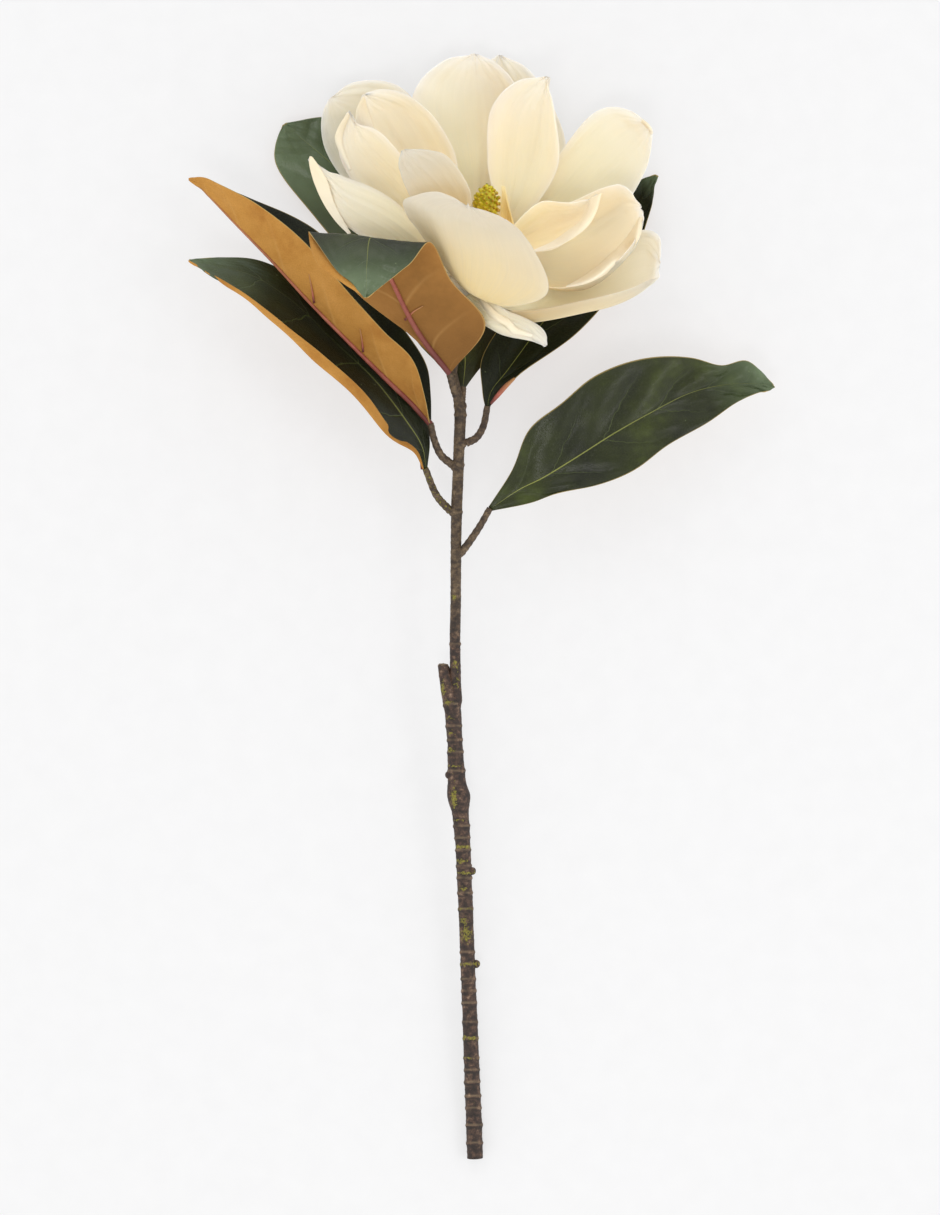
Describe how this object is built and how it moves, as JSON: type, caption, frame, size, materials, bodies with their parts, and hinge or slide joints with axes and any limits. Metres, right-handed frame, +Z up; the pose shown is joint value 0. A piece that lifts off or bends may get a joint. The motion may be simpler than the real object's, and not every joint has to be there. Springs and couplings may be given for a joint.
{
  "type": "cut magnolia branch",
  "caption": "Cut woody magnolia branch lying on its back, with one open cream bloom and long glossy leaves with rust-coloured undersides.",
  "frame": {"origin": "middle of the underside of the box round the part", "axes": "+Y from the cut end along the branch to the bloom, +Z up and out of the surface it lies on, +X to the right as the bloom is looked at from above"},
  "size_m": [0.3714, 0.7072, 0.1368],
  "materials": {
    "bark": "rough grey-brown bark with leaf-scar rings and olive lichen patches",
    "leaf": "glossy dark green upper side, felted rust-brown underside",
    "petal": "thick waxy cream petal with faint lengthwise veins",
    "pistil": "matte yellow-green curled pistils with orange-brown tips",
    "stamen": "matte yellow stamens"
  },
  "bodies": {
    "root": {"branch": "bark", "leaf_back_left": "leaf", "leaf_left_upper": "leaf", "leaf_left_lower": "leaf", "leaf_front": "leaf", "leaf_right_back": "leaf", "leaf_right": "leaf", "petal_back": "petal", "petal_back_outer": "petal", "petal_back_inner": "petal", "petal_right_upper": "petal", "petal_right_inner": "petal", "petal_right": "petal", "petal_right_lower": "petal", "petal_front": "petal", "petal_left_front": "petal", "petal_left_inner": "petal", "petal_left": "petal", "petal_left_upper": "petal", "petal_left_outer": "petal", "petal_small": "petal", "petal_hanging": "petal", "pistils": "pistil", "stamens": "stamen"}
  },
  "joints": []
}
